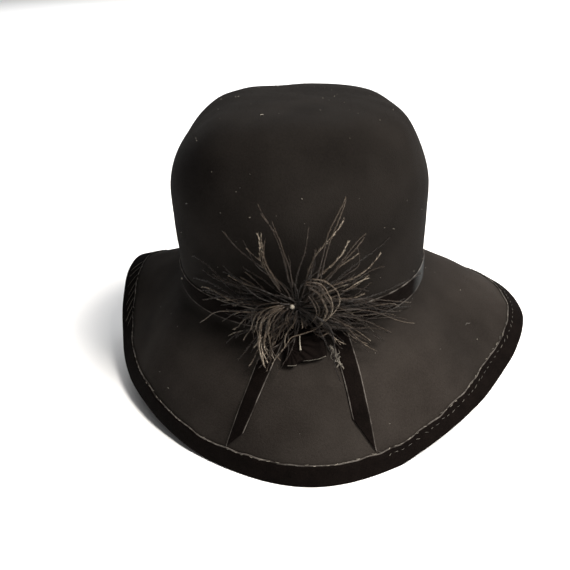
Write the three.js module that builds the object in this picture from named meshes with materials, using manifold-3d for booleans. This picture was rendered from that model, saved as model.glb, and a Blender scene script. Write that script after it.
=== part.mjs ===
// A wide brim hat of black wool felt: a tall round crown and a brim turned down in soft waves,
// blocked from one piece of felt. The rim is bound with folded ribbon, a ribbon band lies round
// the crown, and a feather pom with a gathered knot and two ribbon tails sits at the front.
// Millimetres, +Z up. The hat stands on its rim and its front faces -Y. Bearings go round from
// the front, in degrees, and 90 is at +X.

import * as THREE from "three";
import { mergeVertices } from "three/addons/utils/BufferGeometryUtils.js";
import Module from "manifold-3d";

// Felt
const headWidth = 168;
const headLength = 193;
const crownHeight = 126;
const brimReach = 80;
const brimDrop = 75;
const feltThick = 2.2;
const foldLength = 4;

// Ribbon
const ribbonThick = 0.9;
const gap = 0.3;
const bindingWidth = 12.5;
const bandWidth = 13;
const bandRise = 4;
const footPress = 0.5;
const tailWidth = 12.5;
const tailClearance = 1.5;
const knotWidth = 21.5;
const knotThick = 4;
const knotRise = 7;
const knotDrop = 18;
const knotAside = -2.5;
const overFoldLean = 30;
const gatherDepth = 0.7;
const gatherCount = 5;

// Feathers
const pomHead = 18;
const pomClearance = 2.5;
const pomAside = -6.5;
const lockRoot = 4.5;
const lockLength = 76;
const lockThick = 3.2;
const tipThick = 1.2;

// How finely the round forms are cut into flat faces
const aroundSteps = 64;
const crownSteps = 10;
const brimSteps = 5;
const tailSteps = 9;
const knotSteps = 9;
const gatherSteps = 3;
const lockSteps = 5;
const lockSides = 4;
const headSides = 12;
const headRings = 8;

// The crown from foot to top: shares of the crown's height and of the head's half widths, and
// how far the oval's corners are pushed out to make the top squarer
const crownSections = [
  { rise: 0, spread: 1, corner: 0 },
  { rise: 0.2, spread: 1.01, corner: 0 },
  { rise: 0.4, spread: 1.025, corner: 0 },
  { rise: 0.6, spread: 1.02, corner: 0.01 },
  { rise: 0.75, spread: 0.945, corner: 0.03 },
  { rise: 0.88, spread: 0.82, corner: 0.085 },
  { rise: 0.96, spread: 0.645, corner: 0.12 },
  { rise: 0.99, spread: 0.34, corner: 0.05 },
  { rise: 1, spread: 0, corner: 0 },
];

// The brim at equal bearings from the front: how far the rim stands out and hangs down from the
// crown's foot, and how far the brim bows up between them. Shares of the reach, drop and reach.
const brimShape = [
  { reach: 0.59, drop: 1.14, bow: 0.11 },
  { reach: 0.55, drop: 0.95, bow: 0.075 },
  { reach: 0.745, drop: 0.69, bow: 0.025 },
  { reach: 0.97, drop: 0.535, bow: 0.015 },
  { reach: 0.93, drop: 0.61, bow: 0.05 },
  { reach: 0.635, drop: 0.93, bow: 0.01 },
  { reach: 0.55, drop: 1.03, bow: 0.02 },
  { reach: 0.83, drop: 0.72, bow: 0.02 },
  { reach: 0.83, drop: 0.24, bow: 0.01 },
  { reach: 0.63, drop: 0.77, bow: 0.02 },
  { reach: 0.48, drop: 0.9, bow: 0.065 },
  { reach: 0.47, drop: 1.01, bow: 0.1 },
];

// Soft dents and swells of the felt. The place along the felt is a share of the crown's height
// above its foot, or, below zero, of the brim's reach. Depth is a share of the brim's reach.
const dents = [
  { bearing: 62, along: -0.62, depth: -0.06, wide: 13, long: 0.45 },
  { bearing: 32, along: -0.6, depth: 0.03, wide: 12, long: 0.4 },
  { bearing: 8, along: -0.75, depth: -0.02, wide: 10, long: 0.3 },
  { bearing: 275, along: 0.86, depth: -0.05, wide: 34, long: 0.16 },
  { bearing: 70, along: 0.92, depth: 0.025, wide: 26, long: 0.15 },
];

// The ribbon tails: the bearings of their centre lines at the band and at the tip, and how
// much shorter the edge next to the front is than the outer edge, as a share of the width
const tails = [
  { name: "tail_left", atBand: -12.5, atTip: -22.3, slant: 0.9 },
  { name: "tail_right", atBand: 12, atTip: 13.5, slant: 1.8 },
];

// The locks of the pom in fans: clock angles from straight up, lengths as shares of the lock
// length, how far they droop over their length in degrees, and how far their tips and their
// middles lie off the roots' level, as shares of the lock length
const fans = [
  { from: 58, to: 104, count: 8, short: 0.68, long: 1.05, droop: 8, tipLift: -0.04, arch: 0.07 },
  { from: 110, to: 140, count: 6, short: 0.42, long: 0.74, droop: 14, tipLift: 0, arch: 0.09 },
  { from: -58, to: -100, count: 8, short: 0.68, long: 0.92, droop: 10, tipLift: -0.04, arch: 0.07 },
  { from: -106, to: -140, count: 6, short: 0.44, long: 0.64, droop: 12, tipLift: 0, arch: 0.1 },
  { from: -146, to: -164, count: 4, short: 0.42, long: 0.56, droop: 4, tipLift: 0, arch: 0.08 },
  { from: -42, to: 36, count: 7, short: 0.5, long: 0.85, droop: 4, tipLift: 0, arch: 0.03 },
  { from: 152, to: 190, count: 3, short: 0.28, long: 0.38, droop: 0, tipLift: 0.04, arch: 0.08 },
];

const feltHalf = feltThick / 2;
const ribbonSeat = feltHalf + gap;
const ribbonTop = ribbonSeat + ribbonThick;
const bandTop = bandRise + bandWidth;
const radians = THREE.MathUtils.degToRad;
const up = new THREE.Vector3(0, 0, 1);

const crownLine = makeCrownLine();
const brimLine = new THREE.CatmullRomCurve3(
  brimShape.map((row) => new THREE.Vector3(row.reach, row.drop, row.bow)),
  true,
  "catmullrom",
);
const brimCurves = new Map();

// The crown's half section, from the foot up to the top, as mean radius and height
function makeCrownLine() {
  const meanHalf = (headWidth + headLength) / 4;
  const points = crownSections.map(
    ({ rise, spread }) => new THREE.Vector2(spread * meanHalf, rise * crownHeight),
  );
  return new THREE.SplineCurve(points);
}

// How far the oval's corners are pushed out at a share of the crown's height
function cornerAt(rise) {
  const next = Math.max(crownSections.findIndex((row) => row.rise >= rise), 1);
  const [low, high] = crownSections.slice(next - 1, next + 1);
  return THREE.MathUtils.mapLinear(rise, low.rise, high.rise, low.corner, high.corner);
}

// The way out from the head's oval, level, at a bearing
function outward(bearing) {
  const angle = radians(bearing);
  return new THREE.Vector3(Math.sin(angle) / headWidth, -Math.cos(angle) / headLength, 0).normalize();
}

// A point of the head's oval, drawn in by the spread
function ovalPoint(bearing, spread, height) {
  const angle = radians(bearing);
  const x = (headWidth / 2) * spread * Math.sin(angle);
  const y = (-headLength / 2) * spread * Math.cos(angle);
  return new THREE.Vector3(x, y, height);
}

// The brim at a bearing, as a curve from the crown's foot to the rim. The drop stops at the
// level where the rim rests, so the rim lies flat there.
function brimCurve(bearing) {
  if (!brimCurves.has(bearing)) {
    const row = brimLine.getPoint(THREE.MathUtils.euclideanModulo(bearing / 360, 1));
    const out = outward(bearing);
    const foot = ovalPoint(bearing, 1, 0);
    const rim = foot.clone().addScaledVector(out, row.x * brimReach);
    rim.z = -Math.min(row.y, 1) * brimDrop;
    const chord = rim.clone().sub(foot);
    const across = chord.clone().cross(up).normalize().cross(chord).normalize();
    const middle = foot.clone().lerp(rim, 0.5);
    middle.addScaledVector(across, 2 * row.z * brimReach);
    brimCurves.set(bearing, new THREE.QuadraticBezierCurve3(foot, middle, rim));
  }
  return brimCurves.get(bearing);
}

const brimLength = (bearing) => brimCurve(bearing).getLength();

// The felt's middle surface before it is dented. The run goes along the felt from the crown's
// foot: up the crown below zero, out along the brim above it, and straight on past the rim.
function blockedFelt(bearing, run) {
  if (run <= 0) {
    const share = Math.min(-run / crownLine.getLength(), 1);
    const place = crownLine.getPointAt(share);
    const corner = cornerAt(Math.min(place.y / crownHeight, 1)) * Math.sin(2 * radians(bearing)) ** 2;
    return ovalPoint(bearing, (place.x / crownLine.points[0].x) * (1 + corner), place.y);
  }
  const curve = brimCurve(bearing);
  const length = curve.getLength();
  if (run <= length) return curve.getPointAt(run / length);
  return curve.getPoint(1).addScaledVector(curve.getTangent(1), run - length);
}

// How far the felt is pushed out at a place, by all the dents and swells
function dentAt(bearing, run) {
  const along = run < 0 ? -run / crownHeight : -run / brimReach;
  let depth = 0;
  for (const dent of dents) {
    const turn = THREE.MathUtils.euclideanModulo(bearing - dent.bearing + 180, 360) - 180;
    const away = (turn / dent.wide) ** 2 + ((along - dent.along) / dent.long) ** 2;
    depth += dent.depth * brimReach * Math.exp(-away);
  }
  return depth;
}

// The felt's middle surface: the fold between crown and brim is rounded, and dents push the
// felt half way between outwards and up
function feltMiddle(bearing, run) {
  let point;
  if (Math.abs(run) < foldLength) {
    const share = (run + foldLength) / (2 * foldLength);
    const above = blockedFelt(bearing, -foldLength);
    const below = blockedFelt(bearing, foldLength);
    const corner = blockedFelt(bearing, 0);
    point = new THREE.QuadraticBezierCurve3(above, corner, below).getPoint(share);
  } else {
    point = blockedFelt(bearing, run);
  }
  const push = outward(bearing).add(up).normalize();
  return point.addScaledVector(push, dentAt(bearing, run));
}

// The felt's outward normal, straight up at the top of the crown
function feltNormal(bearing, run) {
  const turn = 0.5;
  const step = 0.25;
  const round = feltMiddle(bearing + turn, run).sub(feltMiddle(bearing - turn, run));
  const along = feltMiddle(bearing, run + step).sub(feltMiddle(bearing, run - step));
  const normal = along.cross(round);
  return normal.length() > 1e-6 ? normal.normalize() : up.clone();
}

// A point at a lift above the felt's middle surface, or below it inside the hat
function feltAt(bearing, run, lift) {
  return feltMiddle(bearing, run).addScaledVector(feltNormal(bearing, run), lift);
}

// A point that lies over the fold between crown and brim: it is lifted at one lean for wall and
// brim alike, so that lines over the fold never cross
function overFold(aside, run, lift) {
  const bearing = THREE.MathUtils.radToDeg(aside / (headWidth / 2));
  const lean = radians(overFoldLean);
  const way = outward(bearing).multiplyScalar(Math.cos(lean)).addScaledVector(up, Math.sin(lean));
  return feltMiddle(bearing, run).addScaledVector(way, lift / Math.cos(lean));
}

// A closed body through rings of points, all with as many points. It runs back to its first
// ring, or each end is closed by a fan from the ring's middle.
function bodyThrough(rings, joined) {
  const size = rings[0].length;
  const points = rings.flat();
  const faces = [];
  const spans = joined ? rings.length : rings.length - 1;
  for (let i = 0; i < spans; i++) {
    const here = i * size;
    const next = ((i + 1) % rings.length) * size;
    for (let j = 0; j < size; j++) {
      const k = (j + 1) % size;
      faces.push([here + j, here + k, next + k], [here + j, next + k, next + j]);
    }
  }
  if (!joined) {
    for (const end of [0, rings.length - 1]) {
      const middle = new THREE.Vector3();
      rings[end].forEach((point) => middle.addScaledVector(point, 1 / size));
      points.push(middle);
      for (let j = 0; j < size; j++) {
        const pair = [end * size + j, end * size + ((j + 1) % size)];
        if (end === 0) pair.reverse();
        faces.push([pair[0], pair[1], points.length - 1]);
      }
    }
  }
  return closedGeometry(points, faces);
}

// Points and faces as one welded geometry: faces without area are dropped, and all faces are
// turned round if they look inwards
function closedGeometry(points, faces) {
  const raw = new THREE.BufferGeometry().setFromPoints(points);
  raw.setIndex(faces.flat());
  const welded = mergeVertices(raw, 1e-3);
  const index = welded.index.array;
  const place = (i) => new THREE.Vector3().fromBufferAttribute(welded.attributes.position, i);
  const kept = [];
  let volume = 0;
  for (let i = 0; i < index.length; i += 3) {
    const [a, b, c] = index.slice(i, i + 3);
    if (a === b || b === c || c === a) continue;
    kept.push([a, b, c]);
    volume += place(a).dot(place(b).cross(place(c)));
  }
  if (volume < 0) kept.forEach((face) => face.reverse());
  welded.setIndex(kept.flat());
  return welded;
}

const bearings = Array.from({ length: aroundSteps }, (_, i) => (i * 360) / aroundSteps);

// Crown and brim: one wall of felt, open below
function feltBody() {
  const rings = bearings.map((bearing) => {
    const runs = [];
    const top = -crownLine.getLength();
    for (let i = 0; i <= crownSteps; i++) {
      runs.push(THREE.MathUtils.lerp(top, -bandTop, i / crownSteps));
    }
    runs.push(-bandRise, 0, foldLength);
    const length = brimLength(bearing);
    for (let i = 1; i <= brimSteps; i++) {
      runs.push(THREE.MathUtils.lerp(foldLength, length - bindingWidth, i / brimSteps));
    }
    runs.push(length);
    const outside = runs.map((run) => feltAt(bearing, run, feltHalf));
    const inside = runs.map((run) => feltAt(bearing, run, -feltHalf));
    return [...outside, ...inside.reverse()];
  });
  return bodyThrough(rings, true);
}

// The rim's binding: one ribbon folded over the felt's edge. Its points are pressed flat where
// they would reach below the floor.
function bindingPoints(bearing) {
  const rim = brimLength(bearing);
  const inner = rim - bindingWidth;
  const section = [
    [inner, ribbonSeat],
    [rim + gap, ribbonSeat],
    [rim + gap, -ribbonSeat],
    [inner, -ribbonSeat],
    [inner, -ribbonTop],
    [rim + gap, -ribbonTop],
    [rim + gap + ribbonThick, -feltHalf],
    [rim + gap + ribbonThick, feltHalf],
    [rim + gap, ribbonTop],
    [inner, ribbonTop],
  ];
  return section.map(([run, lift]) => feltAt(bearing, run, lift));
}

function brimBinding(floor) {
  const rings = bearings.map((bearing) => {
    const ring = bindingPoints(bearing);
    ring.forEach((point) => {
      point.z = Math.max(point.z, floor);
    });
    return ring;
  });
  return bodyThrough(rings, true);
}

// The band round the crown, just above the brim
function crownBand() {
  const rings = bearings.map((bearing) => [
    feltAt(bearing, -bandRise, ribbonSeat),
    feltAt(bearing, -bandRise, ribbonTop),
    feltAt(bearing, -bandTop, ribbonTop),
    feltAt(bearing, -bandTop, ribbonSeat),
  ]);
  return bodyThrough(rings, true);
}

// A ribbon tail: it comes from the band's lower edge, lies on the brim and ends in a slanted cut
// short of the binding
function ribbonTail({ atBand, atTip, slant }) {
  const side = Math.sign(atTip);
  const start = gap - bandRise;
  const longEnd = brimLength(atTip) - bindingWidth - tailClearance;
  const rings = [];
  for (let i = 0; i <= tailSteps; i++) {
    const share = i / tailSteps;
    const ring = [];
    for (const across of [-1, 0, 1]) {
      const cut = slant * tailWidth * (1 - across * side) * 0.5;
      const run = THREE.MathUtils.lerp(start, longEnd - cut, share);
      const centre = THREE.MathUtils.lerp(atBand, atTip, share);
      const radius = feltMiddle(centre, run).setZ(0).length();
      const turn = THREE.MathUtils.radToDeg((across * tailWidth) / 2 / radius);
      ring.push([centre + turn, run]);
    }
    const below = ring.map(([bearing, run]) => feltAt(bearing, run, ribbonSeat));
    const above = ring.map(([bearing, run]) => feltAt(bearing, run, ribbonTop));
    rings.push([...below, ...above.reverse()]);
  }
  return bodyThrough(rings, false);
}

// The gathered knot: a soft tab over the band's lower half and the fold below it. Its gathers
// lie across it, one below the other.
const knotSeat = ribbonTop + gap;
const knotTop = knotSeat + knotThick;
function ribbonKnot() {
  const rows = gatherCount * gatherSteps;
  const rings = [];
  for (let i = 0; i <= rows; i++) {
    const share = i / rows;
    const run = THREE.MathUtils.lerp(-knotRise, knotDrop, share);
    const puff = Math.sqrt(Math.sin(Math.PI * THREE.MathUtils.lerp(0.12, 0.88, share)));
    const gather = gatherDepth * (1 - Math.cos(2 * Math.PI * gatherCount * share));
    const below = [];
    const above = [];
    for (let j = 0; j <= knotSteps; j++) {
      const across = (j / knotSteps) * 2 - 1;
      const aside = knotAside + (across * knotWidth) / 2;
      const edge = Math.sqrt(Math.max(1 - across ** 6, 0));
      const thick = (knotThick - gather) * puff * edge;
      below.push(overFold(aside, run, knotSeat));
      above.push(overFold(aside, run, knotSeat + Math.max(thick, ribbonThick)));
    }
    rings.push([...below, ...above.reverse()]);
  }
  return bodyThrough(rings, false);
}

// One lock: a tapered strand that starts in the pom's head and follows the felt at a lift
const rootLift = knotTop + gap + lockThick / 2;
function lockGeometry({ clock, length, droop, tipLift, arch }) {
  const end = rootLift + tipLift * lockLength;
  const centres = [];
  let aside = pomAside + lockRoot * Math.sin(radians(clock));
  let run = -pomRise - lockRoot * Math.cos(radians(clock));
  for (let i = 0; i <= lockSteps; i++) {
    const share = i / lockSteps;
    const lift = THREE.MathUtils.lerp(rootLift, end, share) + arch * length * Math.sin(Math.PI * share);
    centres.push(overFold(aside, run, lift));
    const way = radians(clock + Math.sign(clock) * droop * share);
    aside += (Math.sin(way) * length) / lockSteps;
    run -= (Math.cos(way) * length) / lockSteps;
  }
  const rings = centres.map((centre, i) => {
    const before = centres[Math.max(i - 1, 0)];
    const after = centres[Math.min(i + 1, lockSteps)];
    const tangent = after.clone().sub(before).normalize();
    const side = tangent.clone().cross(up).normalize();
    const top = side.clone().cross(tangent);
    const radius = THREE.MathUtils.lerp(lockThick, tipThick, i / lockSteps) / 2;
    const ring = [];
    for (let j = 0; j < lockSides; j++) {
      const angle = (j / lockSides) * 2 * Math.PI;
      const point = centre.clone().addScaledVector(side, radius * Math.cos(angle));
      ring.push(point.addScaledVector(top, radius * Math.sin(angle)));
    }
    return ring;
  });
  return bodyThrough(rings, false);
}

// The locks of all fans. Their lengths go up and down within a fan in a fixed pattern.
function allLocks() {
  const pattern = [0.55, 0.1, 0.85, 0.35, 0.2, 1, 0.5, 0.75];
  return fans.flatMap((fan) =>
    Array.from({ length: fan.count }, (_, i) => {
      const share = fan.count > 1 ? i / (fan.count - 1) : 0;
      const reach = THREE.MathUtils.lerp(fan.short, fan.long, pattern[i % pattern.length]);
      return { ...fan, clock: THREE.MathUtils.lerp(fan.from, fan.to, share), length: reach * lockLength };
    }),
  );
}

// The pom: a round head on the band above the knot, with its locks fused to it. The head is as
// deep as the locks' roots need to lie at its middle.
const pomRise = knotRise + pomClearance + pomHead / 2;
const pomDepth = 2 * (rootLift - knotSeat);
async function featherPom() {
  const wasm = await Module();
  wasm.setup();
  const solidOf = (geometry) =>
    new wasm.Manifold(
      new wasm.Mesh({
        numProp: 3,
        vertProperties: new Float32Array(geometry.attributes.position.array),
        triVerts: new Uint32Array(geometry.index.array),
      }),
    );

  const head = new THREE.SphereGeometry(pomHead / 2, headSides, headRings);
  head.deleteAttribute("normal");
  head.deleteAttribute("uv");
  head.scale(1, pomDepth / pomHead, 1);
  const bearing = THREE.MathUtils.radToDeg(pomAside / (headWidth / 2));
  const centre = feltAt(bearing, -pomRise, rootLift);
  head.rotateZ(radians(bearing));
  head.translate(centre.x, centre.y, centre.z);

  let solid = solidOf(closedGeometry(...pointsAndFaces(head)));
  for (const lock of allLocks()) solid = solid.add(solidOf(lockGeometry(lock)));
  const mesh = solid.getMesh();
  const fused = new THREE.BufferGeometry();
  fused.setAttribute("position", new THREE.BufferAttribute(mesh.vertProperties, 3));
  fused.setIndex(new THREE.BufferAttribute(mesh.triVerts, 1));
  return fused;
}

// A geometry's points, and its faces as triples
function pointsAndFaces(geometry) {
  const points = [];
  const place = geometry.attributes.position;
  for (let i = 0; i < place.count; i++) points.push(new THREE.Vector3().fromBufferAttribute(place, i));
  const faces = [];
  const index = geometry.index.array;
  for (let i = 0; i < index.length; i += 3) faces.push([index[i], index[i + 1], index[i + 2]]);
  return [points, faces];
}

const feltMaterial = new THREE.MeshStandardMaterial({ color: 0x1d1a18, roughness: 0.95, metalness: 0 });
const ribbonMaterial = new THREE.MeshStandardMaterial({ color: 0x0c0a0a, roughness: 0.7, metalness: 0 });
const featherMaterial = new THREE.MeshStandardMaterial({ color: 0x2c231c, roughness: 0.6, metalness: 0 });

// Puts one named sub-part into the hat
function addPiece(hat, name, geometry, material) {
  geometry.computeVertexNormals();
  const mesh = new THREE.Mesh(geometry, material.clone());
  mesh.name = name;
  hat.add(mesh);
  return mesh;
}

// The floor touches the binding's lowest points after they are pressed flat
const lowest = Math.min(...bearings.flatMap((bearing) => bindingPoints(bearing).map((point) => point.z)));
const floor = lowest + footPress;

const hat = new THREE.Group();
addPiece(hat, "felt_body", feltBody(), feltMaterial);
addPiece(hat, "brim_binding", brimBinding(floor), ribbonMaterial);
addPiece(hat, "crown_band", crownBand(), ribbonMaterial);
addPiece(hat, "ribbon_knot", ribbonKnot(), ribbonMaterial);
for (const tail of tails) addPiece(hat, tail.name, ribbonTail(tail), ribbonMaterial);
addPiece(hat, "feather_pom", await featherPom(), featherMaterial);

// The origin is the middle of the hat's outline, on the floor
const box = new THREE.Box3().setFromObject(hat);
const middle = box.getCenter(new THREE.Vector3());
hat.position.set(-middle.x, -middle.y, -floor);

export default hat;
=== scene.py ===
import math

import bmesh
import bpy
import numpy as np
from mathutils import Matrix, Vector


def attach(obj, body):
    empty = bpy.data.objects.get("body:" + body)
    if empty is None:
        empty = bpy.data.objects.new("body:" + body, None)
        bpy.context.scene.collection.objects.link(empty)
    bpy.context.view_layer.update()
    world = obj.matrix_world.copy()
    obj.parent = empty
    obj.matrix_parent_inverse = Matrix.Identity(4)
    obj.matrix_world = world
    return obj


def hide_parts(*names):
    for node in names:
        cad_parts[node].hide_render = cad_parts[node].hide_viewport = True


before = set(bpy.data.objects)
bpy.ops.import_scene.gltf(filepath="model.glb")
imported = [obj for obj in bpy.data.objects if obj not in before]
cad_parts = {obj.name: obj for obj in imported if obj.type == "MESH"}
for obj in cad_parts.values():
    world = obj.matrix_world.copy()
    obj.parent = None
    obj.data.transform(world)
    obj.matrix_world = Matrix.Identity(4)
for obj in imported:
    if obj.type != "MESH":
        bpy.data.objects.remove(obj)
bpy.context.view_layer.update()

# A wide brim hat of black wool felt with a bound rim, a ribbon band, a gathered knot, two ribbon
# tails and a feather rosette. Lengths are in millimetres until a mesh is made. Bearings go round
# from the front, in degrees, and 90 is at +X. A run goes along the felt from the crown's foot: up
# the crown below zero and out along the brim above it. A lift is a height above the felt's middle.

MM = 0.001

# Sizes that the solids also have
FOOT_CENTRE = (-11.61, -0.98, 76.10)
HEAD_WIDTH = 168
HEAD_LENGTH = 193
CROWN_HEIGHT = 126
BRIM_REACH = 80
BRIM_DROP = 75
FELT_THICK = 2.2
FOLD_LENGTH = 4
RIBBON_THICK = 0.9
GAP = 0.3
BINDING_WIDTH = 12.5
BAND_WIDTH = 13
BAND_RISE = 4
TAIL_WIDTH = 12.5
TAIL_CLEARANCE = 1.5
KNOT_WIDTH = 21.5
KNOT_THICK = 4
KNOT_RISE = 7
KNOT_DROP = 18
KNOT_ASIDE = -2.5
OVER_FOLD_LEAN = 30
POM_HEAD = 18
POM_CLEARANCE = 2.5
POM_ASIDE = -6.5
LOCK_LENGTH = 76
LOCK_THICK = 3.2

# The crown from foot to top: rise, spread and how far the oval's corners are pushed out
CROWN_SECTIONS = np.array([
    (0, 1, 0),
    (0.2, 1.01, 0),
    (0.4, 1.025, 0),
    (0.6, 1.02, 0.01),
    (0.75, 0.945, 0.03),
    (0.88, 0.82, 0.085),
    (0.96, 0.645, 0.12),
    (0.99, 0.34, 0.05),
    (1, 0, 0),
])

# The brim at every 30 degrees from the front: reach, drop and bow. The drop is a share of the
# brim's drop, and the other two are shares of its reach.
BRIM_SHAPE = np.array([
    (0.59, 1.14, 0.11),
    (0.55, 0.95, 0.075),
    (0.745, 0.69, 0.025),
    (0.97, 0.535, 0.015),
    (0.93, 0.61, 0.05),
    (0.635, 0.93, 0.01),
    (0.55, 1.03, 0.02),
    (0.83, 0.72, 0.02),
    (0.83, 0.24, 0.01),
    (0.63, 0.77, 0.02),
    (0.48, 0.9, 0.065),
    (0.47, 1.01, 0.1),
])

# Soft dents and swells: bearing, place along the felt, depth, width in degrees and length. Places
# and lengths are shares of the crown's height, or of the brim's reach below zero, and depths are
# shares of that reach. The dent at 278 degrees lies higher up than in the solids.
DENTS = [
    (62, -0.62, -0.06, 13, 0.45),
    (32, -0.6, 0.03, 12, 0.4),
    (8, -0.75, -0.02, 10, 0.3),
    (278, 1.0, -0.05, 36, 0.17),
    (70, 0.92, 0.025, 26, 0.15),
]

# The ribbon tails: name, bearing at the band, bearing at the tip, and the slant of the cut
TAILS = [
    ("tail_left", -12.5, -22.3, 0.9),
    ("tail_right", 12, 13.5, 1.8),
]

# The feather locks in fans: first and last clock angle, count, shortest and longest as shares of
# the lock's length, droop in degrees, tip lift and arch. Zero on the clock is straight up and
# positive angles lie to the right.
FANS = [
    (58, 104, 8, 0.68, 1.05, 8, -0.04, 0.07),
    (110, 140, 6, 0.42, 0.74, 14, 0, 0.09),
    (-58, -100, 8, 0.68, 0.92, 10, -0.04, 0.07),
    (-106, -140, 6, 0.44, 0.64, 12, 0, 0.1),
    (-146, -164, 4, 0.42, 0.56, 4, 0, 0.08),
    (-42, 36, 7, 0.5, 0.85, 4, 0, 0.03),
    (152, 190, 3, 0.28, 0.38, 0, 0.04, 0.08),
]
LOCK_PATTERN = (0.55, 0.1, 0.85, 0.35, 0.2, 1, 0.5, 0.75)

# How fine the meshes are
AROUND_STEPS = 300
CROWN_STEPS = 56
BRIM_STEPS = 40
ARC_SAMPLES = 32
FOLD_STEPS = 6
CROWN_SAMPLES = 601
TAIL_STEPS = 60
KNOT_STEPS = (110, 90)

# Soft unevenness of the hand blocked felt, and how far from the crown's pole it pushes straight up
RIPPLE_DEPTH = 0.3
RIPPLE_LENGTH = 34
RIPPLE_WAVES = 14
POLE_REACH = 40

FELT_HALF = FELT_THICK / 2
RIBBON_SEAT = FELT_HALF + GAP
RIBBON_TOP = RIBBON_SEAT + RIBBON_THICK
KNOT_SEAT = RIBBON_TOP + GAP
ROOT_LIFT = KNOT_SEAT + KNOT_THICK + GAP + LOCK_THICK / 2
POM_RISE = KNOT_RISE + POM_CLEARANCE + POM_HEAD / 2
UP = np.array([0.0, 0.0, 1.0])


# Helpers on arrays of points
def unit(vectors):
    length = np.linalg.norm(vectors, axis=-1, keepdims=True)
    return vectors / np.maximum(length, 1e-9)


def smooth_curve(before, start, end, after, share):
    """A uniform Catmull-Rom curve between start and end."""
    return 0.5 * (
        2 * start
        + (end - before) * share
        + (2 * before - 5 * start + 4 * end - after) * share**2
        + (3 * start - before - 3 * end + after) * share**3
    )


def bezier(start, middle, end, share):
    return (1 - share) ** 2 * start + 2 * share * (1 - share) * middle + share**2 * end


def line_through(places, count):
    """A smooth line of count points through all places."""
    knots = np.concatenate([places[:1], places, places[-1:]])
    steps = np.linspace(0, len(places) - 1, count)
    first = np.minimum(steps.astype(int), len(places) - 2)
    near = [knots[first + step] for step in (0, 1, 2, 3)]
    return smooth_curve(*near, (steps - first)[:, None])


def lengths_along(path):
    """The length from the start of a path to each of its points."""
    steps = np.linalg.norm(np.diff(path, axis=0), axis=1)
    return np.concatenate([[0], np.cumsum(steps)])


def flattened(*arrays):
    """The common shape of some arrays, and each of them spread to it and made flat."""
    spread = np.broadcast_arrays(*(np.asarray(x, float) for x in arrays))
    return spread[0].shape, *(x.ravel() for x in spread)


def waves(count, length, seed):
    """Random plane waves for an even unevenness, as directions and phases."""
    rng = np.random.default_rng(seed)
    directions = unit(rng.normal(size=(count, 3)))
    sizes = 2 * math.pi / (length * rng.uniform(0.6, 1.7, count))
    return directions * sizes[:, None], rng.uniform(0, 2 * math.pi, count)


def unevenness(points, wave_set):
    """About -1 to 1 over space."""
    directions, phases = wave_set
    total = np.zeros(len(points))
    for direction, phase in zip(directions, phases):
        total += np.sin(points @ direction + phase)
    return total / math.sqrt(len(phases))


RIPPLES = waves(RIPPLE_WAVES, RIPPLE_LENGTH, seed=11)


# The felt's form, by the same rules as the solids
def crown_table():
    """The crown's half section from the foot up: length along it, mean radius and height."""
    mean_half = (HEAD_WIDTH + HEAD_LENGTH) / 4
    rise, spread, _ = CROWN_SECTIONS.T
    points = np.stack([spread * mean_half, rise * CROWN_HEIGHT], axis=1)
    curve = line_through(points, CROWN_SAMPLES)
    return lengths_along(curve), curve[:, 0] / mean_half, curve[:, 1]


CROWN_RUN, CROWN_SPREAD, CROWN_RISE = crown_table()
CROWN_LENGTH = CROWN_RUN[-1]


def outward(bearing):
    """The level direction straight out from the head's oval."""
    angle = np.radians(bearing)
    flat = np.stack([np.sin(angle) / HEAD_WIDTH, -np.cos(angle) / HEAD_LENGTH, 0 * angle], axis=-1)
    return unit(flat)


def oval_point(bearing, spread, height):
    angle = np.radians(bearing)
    x = HEAD_WIDTH / 2 * spread * np.sin(angle)
    y = -HEAD_LENGTH / 2 * spread * np.cos(angle)
    return np.stack([x, y, height + 0 * x], axis=-1)


def brim_curve(bearing):
    """The brim at each bearing, as three control points from the crown's foot to the rim."""
    place = np.mod(bearing / 360, 1) * len(BRIM_SHAPE)
    first = np.floor(place).astype(int)
    near = [BRIM_SHAPE[(first + step) % len(BRIM_SHAPE)] for step in (-1, 0, 1, 2)]
    reach, drop, bow = smooth_curve(*near, (place - first)[:, None]).T
    foot = oval_point(bearing, 1, 0)
    rim = foot + outward(bearing) * (reach * BRIM_REACH)[:, None]
    rim[:, 2] = -np.minimum(drop, 1) * BRIM_DROP
    chord = rim - foot
    across = np.cross(unit(np.cross(chord, UP)), chord)
    middle = (foot + rim) / 2 + unit(across) * (2 * bow * BRIM_REACH)[:, None]
    return foot, middle, rim


def brim_arcs(bearing):
    """Control points of each brim curve and the length along it at even shares."""
    foot, middle, rim = brim_curve(bearing)
    shares = np.linspace(0, 1, ARC_SAMPLES + 1)
    samples = bezier(foot, middle, rim, shares[:, None, None])
    steps = np.linalg.norm(np.diff(samples, axis=0), axis=2)
    lengths = np.concatenate([np.zeros((1, len(foot))), np.cumsum(steps, axis=0)])
    return (foot, middle, rim), lengths


def brim_length(bearing):
    return brim_arcs(np.atleast_1d(np.asarray(bearing, float)))[1][-1]


def on_brim(bearing, run):
    (foot, middle, rim), lengths = brim_arcs(bearing)
    total = lengths[-1]
    inside = np.clip(run, 0, total)
    step = np.clip((lengths <= inside).sum(axis=0) - 1, 0, ARC_SAMPLES - 1)
    columns = np.arange(len(run))
    low = lengths[step, columns]
    high = lengths[step + 1, columns]
    share = ((step + (inside - low) / (high - low)) / ARC_SAMPLES)[:, None]
    beyond = unit(rim - middle) * np.maximum(run - total, 0)[:, None]
    return bezier(foot, middle, rim, share) + beyond


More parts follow.
